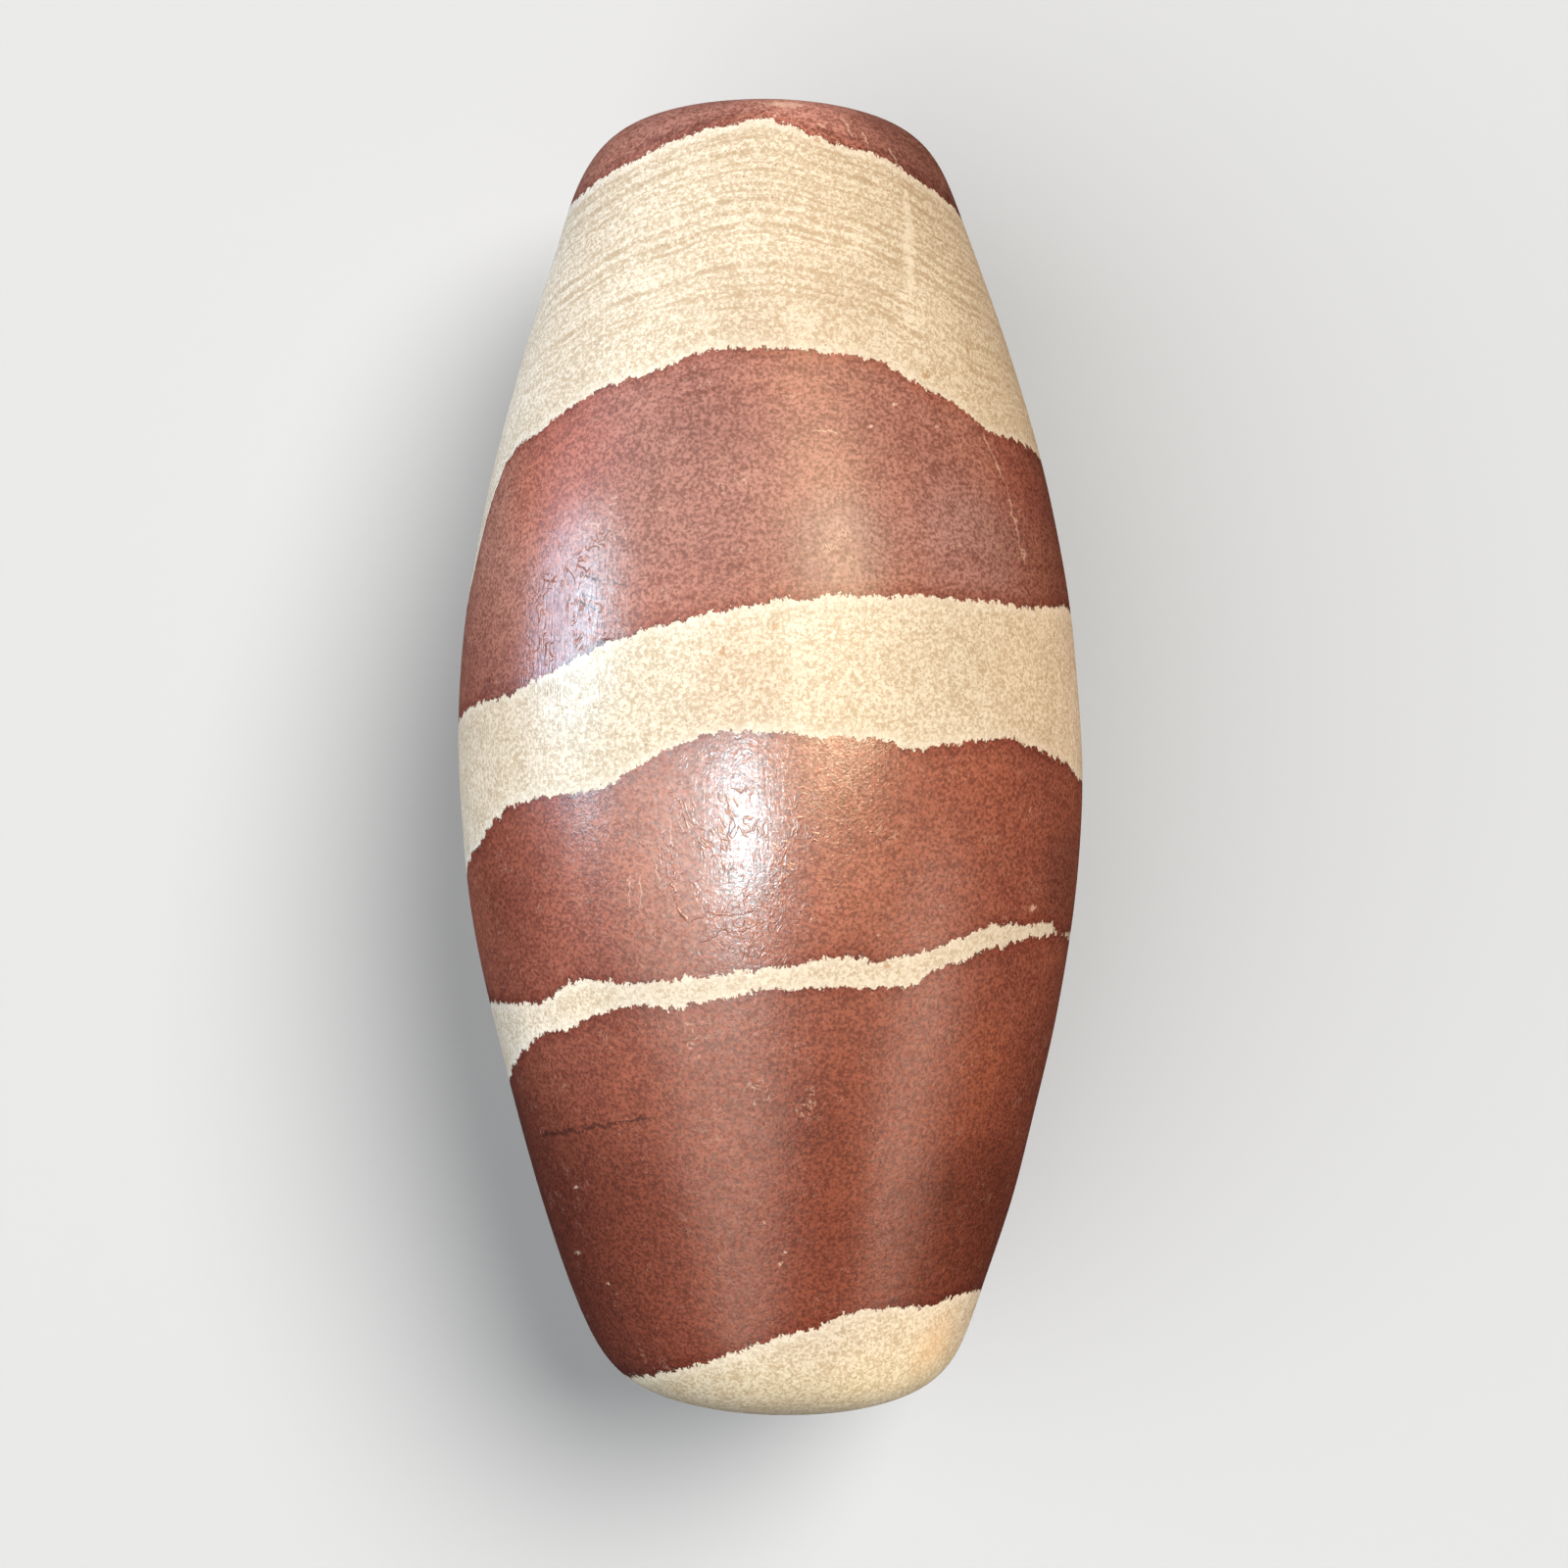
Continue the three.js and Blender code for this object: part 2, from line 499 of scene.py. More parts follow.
# noises on the stone: waves in a mm, detail, roughness
noises = {
    "wander": (0.9, 2.0, 0.5),    # small waves of the bedding and of the faint lines
    "tone": (0.06, 3.0, 0.55),    # slow drift in tone
    "patches": (0.25, 2.0, 0.6),  # where faint lines, scuffs with their painted glints and thin crinkles show
    "mottle": (0.45, 3.0, 0.6),   # clusters of paler grains
    "teeth": (0.85, 4.0, 0.72),   # jagged edge between the colours
    "sway": (0.8, 2.0, 0.5),      # wavering of the scratches
    "scuffGlints": (0.9, 1.0, 0.5),    # where the scuffs and their painted glints break off
    "pieces": (0.42, 2.0, 0.6),   # where crinkles break off
    "streaks": (3.2, 2.0, 0.6),   # of rubbing along the stone
    "worn": (1.3, 3.0, 0.65),     # unevenness of the film
}

# what both colours share
sandLook = {
    "patches": (0.42, 0.62, 0.0, 1.0),
    "mottle": 0.25,
    "drift": (0.35, 0.65, 0.0, 1.0),
    "ragged": (1.4, 1.1, 0.0),  # mm that the grain shifts the dots
    "patchCore": 0.3,           # of a patch's reach that is changed in full
}


def readSkin(tree):
    # what every pattern starts from: places in mm, the mesh's own fields and the slow noises
    coordinates = tree.nodes.new("ShaderNodeTexCoord").outputs["Object"]
    skin = {"place": scaled(tree, coordinates, 1 / millimetre)}
    for name in ("bandDepth", "bedding", "upward"):
        skin[name] = addNode(tree, "ShaderNodeAttribute", attribute_name=name).outputs["Fac"]
    for name in ("wander", "tone", "patches", "mottle"):
        skin[name] = noise(tree, skin["place"], *noises[name])
    skin["patches"] = ramp(tree, skin["patches"], *sandLook["patches"])
    skin["mottle"] = times(tree, centred(tree, skin["mottle"]), sandLook["mottle"])
    skin["along"] = addNode(tree, "ShaderNodeSeparateXYZ", {0: skin["place"]}).outputs[1]
    return skin


# the layers that the sand was laid down in show as lines where a noise through them is low
bedLook = {
    "layers": (0.95, 1.3, 0.5),            # waves in a mm, detail, roughness
    "waviness": 0.5,                       # mm
    "drift": 1.6,                          # mm
    "tanLine": (0.53, 0.41, 0.0, 1.0),     # in the upper cream
    "tanFade": (24.0, 34.0, 1.0, 0.0),     # mm below the cap's edge
    "tanOnFlank": (0.2, 0.8, 0.65, 1.0),   # by how far it faces up
    "tanInPatches": (0.0, 1.0, 0.5, 1.0),  # by the patches
    "tanStrength": 0.5,
    "tanLean": -0.10,                      # fewer pale grains on a line
    "mottleAmongThem": (0.0, 1.0, 1.0, 0.4),
    "darkLine": (0.48, 0.40, 0.0, 1.0),    # in the red under it
    "darkFade": (30.0, 46.0, 1.0, 0.0),
    "darkInMottle": (-0.03, 0.03, 1.0, 0.2),
}


def layBeds(tree, skin):
    # wavy, broken lines: tan in the upper cream and dark in the red under it, fading downwards
    level = plus(tree, skin["bedding"], centred(tree, skin["wander"]), bedLook["waviness"])
    level = plus(tree, level, skin["tone"], bedLook["drift"])
    scale, detail, roughness = bedLook["layers"]
    inputs = {"W": level, "Scale": scale, "Detail": detail, "Roughness": roughness}
    layers = addNode(tree, "ShaderNodeTexNoise", inputs, noise_dimensions="1D").outputs["Fac"]
    fade = times(tree, ramp(tree, skin["bedding"], *bedLook["tanFade"]),
                 ramp(tree, skin["upward"], *bedLook["tanOnFlank"]))
    tan = times(tree, ramp(tree, layers, *bedLook["tanLine"]), fade,
                ramp(tree, skin["patches"], *bedLook["tanInPatches"]))
    dark = times(tree, ramp(tree, layers, *bedLook["darkLine"]),
                 ramp(tree, skin["bedding"], *bedLook["darkFade"]),
                 ramp(tree, skin["mottle"], *bedLook["darkInMottle"]))
    return tan, dark, fade


# what lies along the edge between the colours: mm inside the cream, negative in the red
edgeLook = {
    "teethStretch": (1.0, 0.4, 1.0),
    "teethHeight": 2.6,                      # of the jagged edge
    "grainHeight": 1.0,
    "cream": (-0.04, 0.04, 0.0, 1.0),
    "rim": (0.2, 1.3, 0.4, 0.0),
    "fringe": (-1.7, -0.1, 0.0, 0.9),
    "outline": (-0.45, -0.1, 0.0, 0.8),
    "laminae": [(-2.3, 0.35), (-4.6, 0.4)],  # faint lines in the red: middle, half width
    "laminaWaver": 0.8,
    "laminaStrength": 0.5,
}


def jagEdge(tree, skin, grain):
    # how far inside the cream: its edge has pointed teeth along the stone, roughened by the grain
    longPlace = stretched(tree, skin["place"], edgeLook["teethStretch"])
    teeth = centred(tree, noise(tree, longPlace, *noises["teeth"]))
    depth = plus(tree, skin["bandDepth"], teeth, edgeLook["teethHeight"])
    return plus(tree, depth, centred(tree, grain), edgeLook["grainHeight"])


def packSand(tree, place, sand, lean):
    return placeGroup(tree, sandGrain, {
        "Place": place, "Size": sand["grainSize"], "Softness": sand["softness"], "Lean": lean,
        "Winding": sand["winding"], "Matrix": sand["matrix"], "Pale": sand["pale"],
        "Dark": sand["dark"], "Dark share": sand["darkShare"]})


def drifting(tree, skin, sand):
    share = ramp(tree, skin["tone"], *sandLook["drift"])
    return mixColour(tree, share, sand["dim"], sand["bright"])


# the patches multiplied in here hold tone and painted light and shade
def addPatches(tree, place, colour, patches):
    for middle, reach, change in patches:
        share = softPatch(tree, place, middle, reach * sandLook["patchCore"], reach)
        colour = tinted(tree, colour, change, share)
    return colour


# the cream sand, and the colours that it is mixed with or multiplied by
creamSand = {
    "matrix": (0.36, 0.29, 0.22, 1),
    "pale": (0.535, 0.485, 0.435, 1),
    "dark": (0.22, 0.15, 0.10, 1),
    "grainSize": 0.39,
    "winding": 0.8,
    "softness": 0.11,
    "darkShare": 0.045,
    "dim": (0.93, 0.92, 0.90, 1),    # the two ends of its slow drift in tone
    "bright": (1.04, 1.05, 1.06, 1),
    "bed": (0.76, 0.67, 0.57, 1),    # of the tan bedding lines
    "edge": (0.57, 0.535, 0.51, 1),  # paler towards the red
    "veinLean": 0.16,                # more pale grains in the vein and the clouds
    "cloudStrength": 0.35,
    "brown": (0.30, 0.17, 0.08, 1),  # of its brown dots
    "brownSpots": {"Spacing": 7.0, "Radius": 0.45, "Share": 0.35},
    "brownCore": 0.6,
    "brownStrength": 0.65,
    "stain": (0.55, 0.32, 0.16, 1),  # an orange stain near the foot
    "stainPlace": ((19.0, -66.5, 48.0), 1.0, 6.0),
    "stainStrength": 0.35,
    "foot": (1.12, 1.12, 1.02, 1),   # paler and greyer towards the foot
    "towardsFoot": (-64.0, -70.0, 0.0, 1.0),
}

# a pale vein through the beds of the upper cream, in mm: from, to, half width
paleVein = ((15.9, 63.0), (16.1, 50.1), 0.7)

# whitish clouds in the two wide cream bands: middle, radius
paleClouds = [
    ((-2.6, 57.9), 2.5), ((-13.8, 65.4), 2.5), ((-14.8, 57.9), 3.0), ((-12.6, 51.2), 2.5),
    ((4.3, 46.1), 3.0), ((15.6, 48.0), 3.0), ((10.8, 55.3), 2.5), ((3.5, 13.0), 2.6),
    ((3.7, 9.5), 2.6), ((3.9, 6.0), 2.4),
]


def leanCream(tree, skin, tanBeds, bedFade):
    # fewer pale grains on the bedding lines, more in a vein and in whitish clouds
    vein = gatherMarks(tree, skin["place"], [paleVein])
    clouds = gatherRounds(tree, skin["flatPlace"], paleClouds, markShape["softCore"])
    whitish = strongest(tree, vein, times(tree, clouds, creamSand["cloudStrength"]))
    lean = times(tree, skin["mottle"], ramp(tree, bedFade, *bedLook["mottleAmongThem"]))
    lean = plus(tree, lean, tanBeds, bedLook["tanLean"])
    return plus(tree, lean, whitish, creamSand["veinLean"])


# large soft patches of another tone, partly painted light and shade, such as the brighter, bluer upper
# left flank and the brighter right side of the foot: middle in mm, reach, colour that it is multiplied
# by
creamToneAndLightPatches = [
    # painted light: brighter and bluer on the upper left flank
    ((-28, 48, 35), 26, (1.18, 1.19, 1.22, 1)),
    ((26, 36, 50), 18, (0.93, 0.90, 0.86, 1)),
    # painted light: brighter on the right side of the foot
    ((18, -68, 45), 18, (1.32, 1.34, 1.32, 1)),
    ((33, 8, 46), 22, (1.12, 1.08, 1.05, 1)),
    ((5, 45, 60), 15, (0.90, 0.87, 0.85, 1)),
    ((-31, 2, 48), 17, (1.02, 0.97, 0.90, 1)),
    ((-3, 8, 69), 8, (0.96, 0.89, 0.85, 1)),
    ((-23, -27, 56), 11, (1.16, 1.13, 1.08, 1)),
]

# brown dots in the cream: middle, radius
brownDots = [
    ((-4.7, 10.8), 0.45), ((-5.6, 13.7), 0.35), ((6.2, 67.4), 0.5), ((17.5, 40.9), 0.5),
    ((16.2, -19.9), 0.4), ((12.1, -22.4), 0.35),
]


def colourCream(tree, skin, colour, depth, tanBeds):
    # tan along its beds, paler at its rim, with brown dots, a stain and a greyer foot
    colour = tinted(tree, colour, creamSand["bed"], times(tree, tanBeds, bedLook["tanStrength"]))
    colour = mixColour(tree, ramp(tree, depth, *edgeLook["rim"]), colour, creamSand["edge"])
    brown = placeGroup(tree, spots, {"Place": skin["place"], **creamSand["brownSpots"]})["Mask"]
    dots = gatherRounds(tree, skin["ragged"], brownDots, creamSand["brownCore"])
    brown = times(tree, strongest(tree, brown, dots), creamSand["brownStrength"])
    colour = mixColour(tree, brown, colour, creamSand["brown"])
    colour = tinted(tree, colour, drifting(tree, skin, creamSand))
    stain = softPatch(tree, skin["place"], *creamSand["stainPlace"])
    stain = times(tree, stain, creamSand["stainStrength"])
    colour = mixColour(tree, stain, colour, creamSand["stain"])
    share = ramp(tree, skin["along"], *creamSand["towardsFoot"])
    colour = tinted(tree, colour, creamSand["foot"], share)
    return addPatches(tree, skin["place"], colour, creamToneAndLightPatches)


# the red sand, in the same way
redSand = {
    "matrix": (0.160, 0.057, 0.044, 1),
    "pale": (0.330, 0.147, 0.121, 1),
    "dark": (0.090, 0.031, 0.023, 1),
    "grainSize": 0.38,
    "winding": 0.3,
    "softness": 0.125,
    "darkShare": 0.05,
    "dim": (0.90, 0.86, 0.86, 1),      # the two ends of its slow drift in tone
    "bright": (1.10, 1.12, 1.08, 1),
    "tint": (0.72, 0.50, 0.43, 1),     # of the fringe that lies along each cream band
    "outline": (0.55, 0.45, 0.40, 1),  # right at the cream, here and there
    "bed": (0.72, 0.66, 0.66, 1),      # of faint dark beds under the upper cream
    "head": (1, 1, 1, 1),              # unchanged near the head
    "middle": (0.87, 0.60, 0.48, 1),   # deeper in the middle of the stone
    "foot": (0.60, 0.335, 0.23, 1),    # and deepest towards the foot
    "footToMiddle": (-48.0, -12.0, 0.0, 1.0),
    "middleToHead": (-2.0, 24.0, 0.0, 1.0),
    "flankShade": (0.84, 0.80, 0.74, 1),    # painted shade on the flanks, darker where the surface turns down from the top
    "towardsFlank": (0.85, 0.2, 0.0, 1.0),
    "mark": (0.62, 0.46, 0.38, 1),     # of scratches and scuffs, and of the small glints painted with the scuffs
    "crack": (0.34, 0.29, 0.28, 1),
}

# large soft patches of another tone, as for the cream. Most are painted light and shade: darker flanks,
# a paler sheen round the top highlight and a bright reflected stripe on the right of the lower red; a
# few are the red's own tone
redToneAndLightPatches = [
    ((-22, 31, 56), 13, (1.12, 0.86, 0.74, 1)),
    # painted shade on the left flank, low and in the middle
    ((-28, -52, 38), 32, (0.62, 0.50, 0.43, 1)),
    ((-27, -12, 52), 13, (0.76, 0.63, 0.56, 1)),
    ((20, -52, 50), 15, (0.80, 0.76, 0.71, 1)),
    ((2, -38, 60), 9, (0.80, 0.76, 0.76, 1)),
    # painted highlight and sheen: paler beside and round the top highlight
    ((7, -14, 68), 8, (1.10, 1.14, 1.16, 1)),
    ((3, -13, 67), 27, (1.02, 1.12, 1.17, 1)),
    ((-8, 27, 66), 18, (0.84, 0.86, 0.90, 1)),
    # painted shade on the upper right flank
    ((36, 24, 30), 34, (0.62, 0.47, 0.43, 1)),
    ((13, 31, 62), 15, (0.82, 0.82, 0.88, 1)),
    ((8, 21, 66), 9, (0.82, 0.94, 1.06, 1)),
    ((22, 21, 59), 12, (0.96, 1.14, 1.30, 1)),
    ((29, 31, 49), 9, (0.98, 0.81, 0.79, 1)),
    # painted reflection: a bright stripe on the right of the lower red
    ((20, -37, 57), 12, (1.17, 1.18, 1.06, 1)),
    ((32, -14, 48), 8, (0.80, 0.82, 0.84, 1)),
    ((22, 70, 42), 20, (0.64, 0.62, 0.69, 1)),
    ((-9, 72, 48), 12, (0.82, 0.84, 0.92, 1)),
    ((5, 71, 50), 8, (1.32, 1.42, 1.50, 1)),
]


def colourRed(tree, skin, colour, depth, darkBeds):
    # deeper in a fringe along every edge, with faint thin lines beyond it
    colour = tinted(tree, colour, redSand["tint"], ramp(tree, depth, *edgeLook["fringe"]))
    outline = times(tree, ramp(tree, depth, *edgeLook["outline"]), skin["patches"])
    colour = tinted(tree, colour, redSand["outline"], outline)
    wavering = plus(tree, skin["bandDepth"], centred(tree, skin["wander"]), edgeLook["laminaWaver"])
    for middle, halfWidth in edgeLook["laminae"]:
        line = placeGroup(tree, lamina, {"Depth": wavering, "At": middle, "Half width": halfWidth,
                                         "Patches": skin["patches"]})["Mask"]
        colour = tinted(tree, colour, redSand["tint"], times(tree, line, edgeLook["laminaStrength"]))
    colour = tinted(tree, colour, redSand["bed"], darkBeds)

    # deeper towards the foot, in broad patches that are partly painted light and shade, and in painted
    # shade on the flanks
    colour = tinted(tree, colour, drifting(tree, skin, redSand))
    share = ramp(tree, skin["along"], *redSand["footToMiddle"])
    deeper = mixColour(tree, share, redSand["foot"], redSand["middle"])
    share = ramp(tree, skin["along"], *redSand["middleToHead"])
    colour = tinted(tree, colour, mixColour(tree, share, deeper, redSand["head"]))
    colour = addPatches(tree, skin["place"], colour, redToneAndLightPatches)
    # painted shade: the red darkens as the surface turns down from the top to the flanks
    flankShade = ramp(tree, skin["upward"], *redSand["towardsFlank"], "SMOOTHSTEP")
    return tinted(tree, colour, redSand["flankShade"], flankShade)


# marks of handling in the red, with small glints painted as pale scuffs
wear = {
    "sway": (1.9, -1.5, 0.0),  # mm that a noise shifts the lines
    "specks": {"Spacing": 9.0, "Radius": 0.28, "Share": 0.6},
    "speckCore": 0.5,
    "speckStrength": 0.55,
    "scuffGlints": {"Spacing": 1.5, "Breadth": 0.04, "Bend": 2.0},
    "scuffGlintPieces": (0.50, 0.58, 0.0, 1.0),
    "scuffGlintInPatches": (0.6, 1.0, 0.0, 0.5),
    "scuffGlintStrength": 0.38,
    "scratchStrength": 0.35,
    "crackStrength": 0.78,
}

# small marks on the upper side, in mm: from, to, half width
paleScratches = [
    ((-10.3, -6.5), (-10.4, -9.9), 0.16), ((-13.5, -12.5), (-13.6, -15.8), 0.14),
    ((-11.8, -11.1), (-11.9, -13.2), 0.14), ((-14.8, -12.5), (-14.9, -15.8), 0.14),
    ((23.9, 35.0), (26.3, 29.4), 0.12), ((26.3, 29.4), (28.4, 20.5), 0.12),
    ((4.8, 34.2), (6.4, 34.5), 0.14), ((6.4, 34.5), (7.7, 34.0), 0.14),
    ((0.7, 72.3), (4.9, 72.3), 0.55), ((6.3, 69.4), (7.2, 68.8), 0.22),
    ((8.8, 70.6), (10.3, 67.9), 0.16), ((11.2, 68.9), (12.0, 67.1), 0.14),
    ((13.9, 67.5), (15.3, 65.5), 0.16),
]

# edges of dried polish, in the same way
driedEdges = [
    ((-10.4, -11.0), (-9.9, -15.8), 0.16), ((-9.9, -15.8), (-8.6, -17.6), 0.18),
    ((-8.6, -17.6), (-6.9, -16.3), 0.18), ((-6.9, -16.3), (-2.7, -16.9), 0.18),
    ((-2.7, -16.9), (-1.2, -15.8), 0.16), ((-7.6, -19.7), (-4.3, -18.2), 0.16),
    ((-4.3, -18.2), (-0.8, -17.6), 0.16),
]

# a long fine crack and short dark lines
darkLines = [
    ((-4.3, -10.7), (-4.4, -15.0), 0.20), ((-26.6, -42.1), (-21.5, -40.5), 0.55),
    ((-21.5, -40.5), (-16.6, -39.2), 0.40), ((-16.6, -39.2), (-12.2, -38.4), 0.25),
    ((-19.9, 19.5), (-17.3, 18.8), 0.22), ((-17.3, 18.8), (-14.5, 18.0), 0.16),
    ((-20.4, 16.8), (-17.8, 15.6), 0.20), ((-19.9, 17.6), (-16.9, 16.6), 0.16),
    ((-18.7, 11.4), (-16.9, 12.7), 0.30),
]

# sharp pale specks in the red: middle, radius
paleDots = [
    ((28.6, -17.0), 0.4), ((-1.3, -50.0), 0.26), ((0.9, -53.4), 0.26), ((0.4, -54.7), 0.26),
    ((11.2, 34.8), 0.26), ((18.5, 35.2), 0.26), ((13.9, 37.4), 0.26), ((-22.0, -47.2), 0.26),
    ((-22.2, -55.2), 0.3), ((-18.7, -58.2), 0.26), ((1.6, 70.4), 0.32),
]

# clusters of pale scuffs, partly painted glints: middle, radius
scuffGlintClusters = [
    ((7.0, -4.0), 5.0), ((12.8, -7.6), 2.5), ((-8.2, -30.0), 3.2), ((-1.8, -36.0), 3.0),
    ((3.8, -37.0), 2.5), ((-17.0, 25.0), 4.5), ((-3.4, 29.0), 2.5), ((7.4, 22.0), 3.0),
    ((1.0, 70.5), 4.5),
]


def markRed(tree, skin, colour):
    # scratches, sharp pale specks, pale scuffs that are partly painted glints, and cracks, and the
    # edges of dried polish for the relief
    sway = centred(tree, noise(tree, skin["place"], *noises["sway"]))
    swayed = shifted(tree, skin["place"], sway, wear["sway"])
    pale = gatherMarks(tree, swayed, paleScratches)
    dried = gatherMarks(tree, swayed, driedEdges)
    dark = gatherMarks(tree, swayed, darkLines)
    specks = placeGroup(tree, spots, {"Place": skin["place"], **wear["specks"]})["Mask"]
    specks = strongest(tree, specks, gatherRounds(tree, skin["ragged"], paleDots, wear["speckCore"]))
    scuffGlintPlaces = gatherRounds(tree, skin["flatPlace"], scuffGlintClusters, markShape["softCore"])
    scuffGlints = placeGroup(tree, worms, {"Place": skin["place"], **wear["scuffGlints"]})["Mask"]
    pieces = ramp(tree, noise(tree, skin["place"], *noises["scuffGlints"]), *wear["scuffGlintPieces"])
    allowed = strongest(tree, scuffGlintPlaces, ramp(tree, skin["patches"], *wear["scuffGlintInPatches"]))
    # painted glints: the pale scuffs stand in partly for small glints in the polish
    scuffGlints = times(tree, scuffGlints, pieces, allowed)
    marks = strongest(tree, times(tree, pale, wear["scratchStrength"]),
                      times(tree, specks, wear["speckStrength"]),
                      times(tree, scuffGlints, wear["scuffGlintStrength"]))
    colour = mixColour(tree, marks, colour, redSand["mark"])
    colour = tinted(tree, colour, redSand["crack"], times(tree, dark, wear["crackStrength"]))
    return colour, dried


# where the film differs: middle in mm, full within and gone at in mm, share of the length that counts
polishPlaces = {
    "top": ((-4.5, -8.0, 69.0), 5.0, 13.0),
    "belowTop": ((-1.5, -17.0, 69.0), 3.0, 10.0),
    "side": ((-20.5, 13.67, 61.0), 4.0, 11.0, 0.6),
    "sideCore": ((-19.6, 15.6, 62.5), 1.0, 4.5, 0.5),
    "streak": ((8.0, 20.0, 67.5), 1.0, 6.0, 0.35),
    "leftFlank": ((-28.0, -14.0, 50.0), 6.0, 18.0),
}


def polishAt(tree, skin, name):
    return softPatch(tree, skin["place"], *polishPlaces[name])


# ridges of dried polish
crinkleLook = {
    "ridges": {"Spacing": 2.0, "Breadth": 0.065, "Bend": 2.2},
    "ridgeStretch": (1.0, 0.6, 1.0),
    "pieces": (0.48, 0.58, 0.0, 1.0),
    "pieceStretch": (1.0, 0.7, 1.0),
    "belowTop": 0.75,
    "inPatches": (0.0, 1.0, 0.06, 0.28),
    "atSide": (0.0, 1.0, 1.0, 1.7),
    "driedEdges": 1.6,
}


def crinkle(tree, skin, polished, sidePolish, dried):
    # dried polish winds into ridges where it is thick, broken into pieces and faint elsewhere
    ridgePlace = stretched(tree, skin["place"], crinkleLook["ridgeStretch"])
    ridges = placeGroup(tree, worms, {"Place": ridgePlace, **crinkleLook["ridges"]})["Mask"]
    pieces = noise(tree, stretched(tree, skin["place"], crinkleLook["pieceStretch"]), *noises["pieces"])
    pieces = ramp(tree, pieces, *crinkleLook["pieces"])
    below = polishAt(tree, skin, "belowTop")
    amount = strongest(tree, polished, times(tree, below, crinkleLook["belowTop"]),
                       ramp(tree, skin["patches"], *crinkleLook["inPatches"]))
    raised = times(tree, ridges, pieces, amount, ramp(tree, sidePolish, *crinkleLook["atSide"]))
    return strongest(tree, raised, times(tree, dried, crinkleLook["driedEdges"]))


# the film of old wax, which is the shader's coat: shares of a full film, by mm along the stone or
# by how far it faces up
waxFilm = {
    "roughness": 0.26,
    "ior": 2.0,
    "upward": (0.35, 0.88, 0.12, 0.90),  # thin on the flanks, thick on top
    "towardsHead": (4.0, 14.0, 1.0, 0.12),
    "towardsFoot": (-20.0, -34.0, 1.0, 0.80),
    "polished": 0.25,
    "streakPolish": 0.4,
    "redToCream": (0.0, 1.0, 1.0, 0.10),
    "sideRedToCream": (0.0, 1.0, 0.62, 0.46),
    "onLeftFlank": (0.0, 1.0, 1.0, 0.3),
    "worn": (0.35, 0.65, 0.60, 1.15),
}


def spreadWax(tree, skin, isCream, polished, sidePolish):
    # a film of old wax, thicker where it is polished, thin on the flanks and towards the head
    film = ramp(tree, skin["upward"], *waxFilm["upward"], "SMOOTHSTEP")
    film = times(tree, film, ramp(tree, skin["along"], *waxFilm["towardsHead"]),
                 ramp(tree, skin["along"], *waxFilm["towardsFoot"]))
    film = plus(tree, film, polished, waxFilm["polished"])
    film = plus(tree, film, sidePolish, waxFilm["polished"])
    film = times(tree, film, ramp(tree, isCream, *waxFilm["redToCream"]))
    atSide = times(tree, sidePolish, ramp(tree, isCream, *waxFilm["sideRedToCream"]))
    core = polishAt(tree, skin, "sideCore")
    film = strongest(tree, film, atSide, core)
    leftFlank = polishAt(tree, skin, "leftFlank")
    film = times(tree, film, ramp(tree, leftFlank, *waxFilm["onLeftFlank"]))
    return times(tree, film, ramp(tree, noise(tree, skin["place"], *noises["worn"]), *waxFilm["worn"]))


# fine streaks from rubbing along the stone
streakLook = {
    "stretch": (1.0, 0.05, 1.0),
    "atSide": (0.0, 1.0, 0.6, 2.6),
    "dim": (0.93, 0.93, 0.93, 1),
    "bright": (1.07, 1.07, 1.07, 1),
}

# the stone's own gloss, under the film
gloss = {
    "redRoughness": 0.50,
    "creamRoughness": 0.52,
    "polishedChange": -0.10,
    "streakChange": 0.10,
    "specularLevel": 0.30,
}

# heights in mm of the fine relief
relief = {"grain": 0.031, "crinkles": 0.034, "streaks": 0.025}


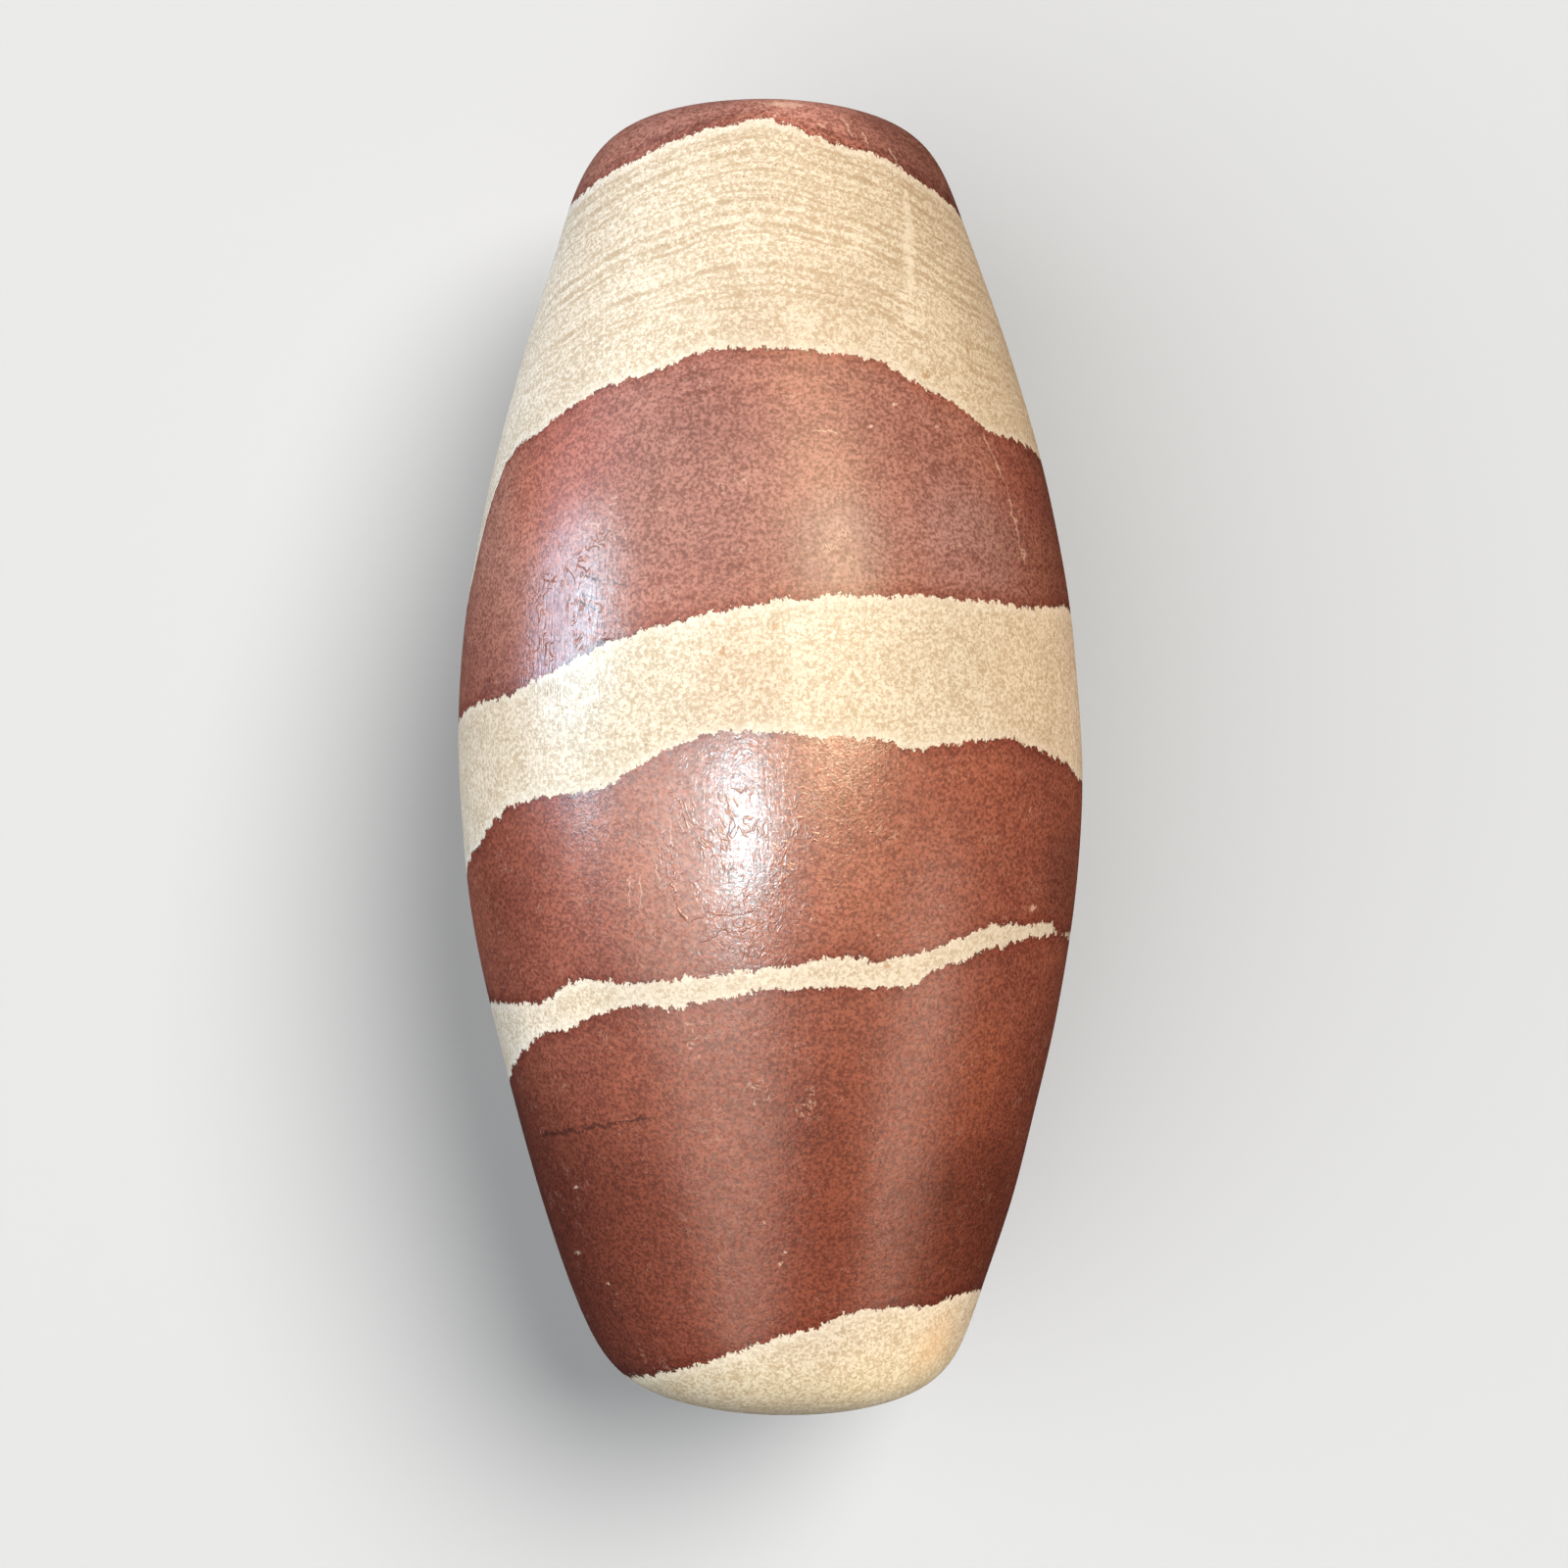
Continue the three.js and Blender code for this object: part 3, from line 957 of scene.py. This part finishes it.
def makeStoneMaterial():
    material = bpy.data.materials.new("bandedStone")
    material.use_nodes = True
    tree = material.node_tree
    tree.nodes.clear()
    skin = readSkin(tree)
    tanBeds, darkBeds, bedFade = layBeds(tree, skin)
    skin["flatPlace"] = stretched(tree, skin["place"], (1, 1, 0))  # seen from above

    # both colours are packed sand
    cream = packSand(tree, skin["place"], creamSand, leanCream(tree, skin, tanBeds, bedFade))
    red = packSand(tree, skin["place"], redSand, skin["mottle"])
    ragged = shifted(tree, skin["flatPlace"], centred(tree, cream["Grain"]), sandLook["ragged"])
    skin["ragged"] = ragged

    depth = jagEdge(tree, skin, cream["Grain"])
    isCream = ramp(tree, depth, *edgeLook["cream"])
    redColour = colourRed(tree, skin, red["Colour"], depth, darkBeds)
    creamColour = colourCream(tree, skin, cream["Colour"], depth, tanBeds)
    redColour, dried = markRed(tree, skin, redColour)

    # two polished places, and a fainter streak
    topPolish = polishAt(tree, skin, "top")
    sidePolish = polishAt(tree, skin, "side")
    streakPolish = polishAt(tree, skin, "streak")
    streakPolish = times(tree, streakPolish, waxFilm["streakPolish"])
    polished = strongest(tree, topPolish, sidePolish, streakPolish)
    crinkles = crinkle(tree, skin, polished, sidePolish, dried)

    # fine streaks from rubbing along the stone
    streaks = noise(tree, stretched(tree, skin["place"], streakLook["stretch"]), *noises["streaks"])
    streakDepth = times(tree, streaks, ramp(tree, sidePolish, *streakLook["atSide"]))
    colour = mixColour(tree, isCream, redColour, creamColour)
    colour = tinted(tree, colour, mixColour(tree, streaks, streakLook["dim"], streakLook["bright"]))

    surface = addNode(tree, "ShaderNodeBsdfPrincipled", {
        "Base Color": colour, "Specular IOR Level": gloss["specularLevel"],
        "Coat Roughness": waxFilm["roughness"], "Coat IOR": waxFilm["ior"]})
    roughness = ramp(tree, isCream, 0.0, 1.0, gloss["redRoughness"], gloss["creamRoughness"])
    roughness = plus(tree, roughness, polished, gloss["polishedChange"])
    roughness = plus(tree, roughness, centred(tree, streaks), gloss["streakChange"])
    tree.links.new(roughness, surface.inputs["Roughness"])
    film = spreadWax(tree, skin, isCream, polished, sidePolish)
    tree.links.new(film, surface.inputs["Coat Weight"])

    # the same relief shows in the stone and in the film over it
    height = times(tree, cream["Grain"], relief["grain"])
    height = plus(tree, height, crinkles, relief["crinkles"])
    height = plus(tree, height, streakDepth, relief["streaks"])
    bump = addNode(tree, "ShaderNodeBump", {"Height": height, "Distance": millimetre, "Strength": 1.0})
    tree.links.new(bump.outputs[0], surface.inputs["Normal"])
    tree.links.new(bump.outputs[0], surface.inputs["Coat Normal"])
    output = tree.nodes.new("ShaderNodeOutputMaterial")
    tree.links.new(surface.outputs[0], output.inputs[0])
    return material


stone.data.materials.append(makeStoneMaterial())
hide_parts("stone")
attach(stone, "root")
print("stone finished")

floorFinish = {"colour": (0.38, 0.38, 0.38, 1), "roughness": 0.8, "halfSide": 20.0, "drop": 0.00005}


def makeFloor():
    half, drop = floorFinish["halfSide"], floorFinish["drop"]
    mesh = bpy.data.meshes.new("paleFloor")
    corners = [(-half, -half, -drop), (half, -half, -drop), (half, half, -drop), (-half, half, -drop)]
    mesh.from_pydata(corners, [], [(0, 1, 2, 3)])
    floor = bpy.data.objects.new("paleFloor", mesh)
    floor.visible_glossy = False  # the stone's flanks mirror the dim room, not the floor
    bpy.context.scene.collection.objects.link(floor)
    material = bpy.data.materials.new("paleFloor")
    material.use_nodes = True
    surface = material.node_tree.nodes["Principled BSDF"]
    surface.inputs["Base Color"].default_value = floorFinish["colour"]
    surface.inputs["Roughness"].default_value = floorFinish["roughness"]
    mesh.materials.append(material)
    return floor


# broad fills as suns: lean from straight up towards +X and +Y in degrees, spread in degrees, strength
fills = {
    "warmSun": {"lean": (21, 21), "spread": 38, "strength": 4.4, "colour": (1.0, 0.78, 0.50)},
    "rightFill": {"lean": (60, -32), "spread": 35, "strength": 0.27, "colour": (1.0, 0.84, 0.68)},
    "leftFill": {"lean": (-58, 46), "spread": 50, "strength": 3.1, "colour": (0.86, 0.94, 1.0),
                 "mirrored": False},
}

# the floor has suns of its own, so that it stays plain and pale under the stone's tinted lights
floorSuns = {
    "floorKey": {"lean": (24, 22), "spread": 34, "strength": 5.0, "colour": (1.0, 0.985, 0.96)},
    "floorFill": {"lean": (-40, -14), "spread": 80, "strength": 3.2, "colour": (0.96, 0.98, 1.0)},
}

# soft boxes, lamps and a window: distance and size in metres, watts
panels = {
    "softHead": {"lean": (-25, 20), "distance": 0.9, "size": (1.0, 0.6), "watts": 2.2,
        "colour": (0.55, 0.88, 1.0)},
    "softFoot": {"lean": (-29, -20), "distance": 0.9, "size": (1.25, 0.6), "watts": 4.0,
        "colour": (1.0, 0.83, 0.69)},
    "lamp": {"lean": (-10, -6.5), "distance": 0.7, "size": (0.10, 0.12), "watts": 1.72,
        "colour": (0.66, 0.93, 1.0)},
    "strip": {"lean": (54, -32), "distance": 0.8, "size": (0.36, 0.12), "watts": 0.32,
        "colour": (1.0, 0.70, 0.55)},
    "window": {"lean": (-84, 15), "distance": 1.0, "size": (0.40, 0.36), "watts": 3.3,
        "colour": (0.54, 0.72, 1.0), "diffuse": False},
    "pane": {"lean": (-66, 12), "distance": 1.0, "size": (0.50, 0.09), "watts": 3.7,
        "colour": (0.52, 0.86, 1.0), "diffuse": False},
}

roomLight = {"room": (0.03, 0.033, 0.035, 1), "backdrop": (0.82, 0.82, 0.81, 1)}


def placeLight(name, kind, light, distance, litOnly):
    leanX, leanY = (math.radians(angle) for angle in light["lean"])
    towards = Vector((math.sin(leanX), math.sin(leanY), math.cos(leanX) * math.cos(leanY))).normalized()
    target = Vector((0, 0, stoneShape["height"] / 2 * millimetre))
    lamp = bpy.data.lights.new(name, kind)
    lamp.color = light["colour"]
    holder = bpy.data.objects.new(name, lamp)
    holder.location = target + towards * distance
    holder.rotation_euler = (-towards).to_track_quat("-Z", "Y").to_euler()
    holder.visible_camera = False
    holder.visible_diffuse = light.get("diffuse", True)
    holder.visible_glossy = light.get("mirrored", True)
    holder.light_linking.receiver_collection = litOnly
    bpy.context.scene.collection.objects.link(holder)
    return lamp


def litGroup(name, piece):
    group = bpy.data.collections.new(name)
    group.objects.link(piece)
    return group


def makeLights(floor):
    stoneLit, floorLit = litGroup("stoneLit", stone), litGroup("floorLit", floor)
    for suns, litOnly in ((fills, stoneLit), (floorSuns, floorLit)):
        for name, light in suns.items():
            lamp = placeLight(name, "SUN", light, 1.0, litOnly)
            lamp.energy = light["strength"]
            lamp.angle = math.radians(light["spread"])
    for name, light in panels.items():
        lamp = placeLight(name, "AREA", light, light["distance"], stoneLit)
        lamp.energy = light["watts"]
        lamp.shape = "RECTANGLE"
        lamp.size, lamp.size_y = light["size"]
    makeRoom()


def makeRoom():
    # a dim room round the stone that the camera itself sees as a pale backdrop
    world = bpy.data.worlds.new("softRoom")
    world.use_nodes = True
    tree = world.node_tree
    background = tree.nodes["Background"]
    seen = tree.nodes.new("ShaderNodeLightPath").outputs["Is Camera Ray"]
    colour = mixColour(tree, seen, roomLight["room"], roomLight["backdrop"])
    tree.links.new(colour, background.inputs["Color"])
    bpy.context.scene.world = world


# the field of view and the roll in degrees, the place in mm, the near clip in metres
cameraView = {"fieldOfView": 30.0, "roll": 0.778, "right": 1.54, "up": -3.08, "aboveFloor": 373.7,
              "sensorWidth": 36.0, "nearClip": 0.01}


def makeCamera():
    lens = bpy.data.cameras.new("camera")
    lens.sensor_width = cameraView["sensorWidth"]
    lens.lens = lens.sensor_width / 2 / math.tan(math.radians(cameraView["fieldOfView"] / 2))
    lens.clip_start = cameraView["nearClip"]
    camera = bpy.data.objects.new("camera", lens)
    camera.location = [cameraView[key] * millimetre for key in ("right", "up", "aboveFloor")]
    camera.rotation_euler = (0, 0, -math.radians(cameraView["roll"]))
    bpy.context.scene.collection.objects.link(camera)
    bpy.context.scene.camera = camera


makeLights(makeFloor())
makeCamera()
bpy.context.scene.view_settings.view_transform = "Standard"
print("floor, lights and camera placed")
